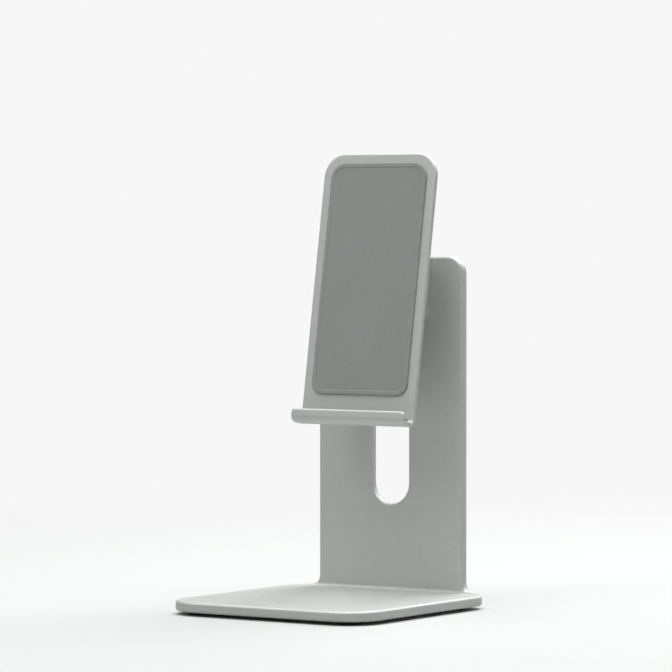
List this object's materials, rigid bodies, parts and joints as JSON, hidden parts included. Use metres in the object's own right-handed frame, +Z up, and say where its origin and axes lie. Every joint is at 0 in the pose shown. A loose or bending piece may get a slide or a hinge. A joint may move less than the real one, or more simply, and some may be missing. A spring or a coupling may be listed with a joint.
{
  "type": "tablet stand",
  "caption": "Desktop tablet stand: bent metal foot and column with a cable slot, and a padded panel with a low ledge that tilts on a friction hinge.",
  "frame": {"origin": "middle of the footprint, on the surface that the rubber feet stand on", "axes": "+X to the right seen from the front, -Y towards the person using it, +Z up; the panel faces -Y and leans back"},
  "size_m": [0.136, 0.14, 0.2629],
  "materials": {
    "satin_aluminium": "fine bead-blasted and clear anodised, satin",
    "cast_metal": "silver powder coat, fine texture",
    "screw_steel": "turned and zinc plated",
    "spring_steel": "dark oiled spring steel",
    "bronze": "machined bronze",
    "grey_silicone": "matt moulded silicone",
    "black_rubber": "matt moulded rubber",
    "cap_plastic": "fine moulded texture"
  },
  "bodies": {
    "stand": {"foot_and_column": "satin_aluminium", "foot_pad_front_left": "black_rubber", "foot_pad_front_right": "black_rubber", "foot_pad_rear_left": "black_rubber", "foot_pad_rear_right": "black_rubber", "hinge_bracket": "cast_metal", "bracket_screw_lower_left": "screw_steel", "bracket_screw_lower_right": "screw_steel", "bracket_screw_upper_left": "screw_steel", "bracket_screw_upper_right": "screw_steel", "hinge_shaft": "screw_steel", "friction_washer_left": "bronze", "friction_washer_right": "bronze", "spring_washer_inner": "spring_steel", "spring_washer_outer": "spring_steel", "hinge_nut": "screw_steel", "hinge_cap_left": "cap_plastic", "hinge_cap_right": "cap_plastic"},
    "head": {"hinge_knuckle": "cast_metal", "tablet_panel": "satin_aluminium", "panel_pad": "grey_silicone", "ledge_pad": "grey_silicone", "panel_screw_lower_left": "screw_steel", "panel_screw_lower_right": "screw_steel", "panel_screw_upper_left": "screw_steel", "panel_screw_upper_right": "screw_steel"}
  },
  "joints": [
    {"name": "panel_tilt", "type": "hinge", "parent": "stand", "child": "head", "pos_m": [0, 0.055, 0.196], "axis": [-1, 0, 0], "range_deg": [-9.7, 80]}
  ]
}
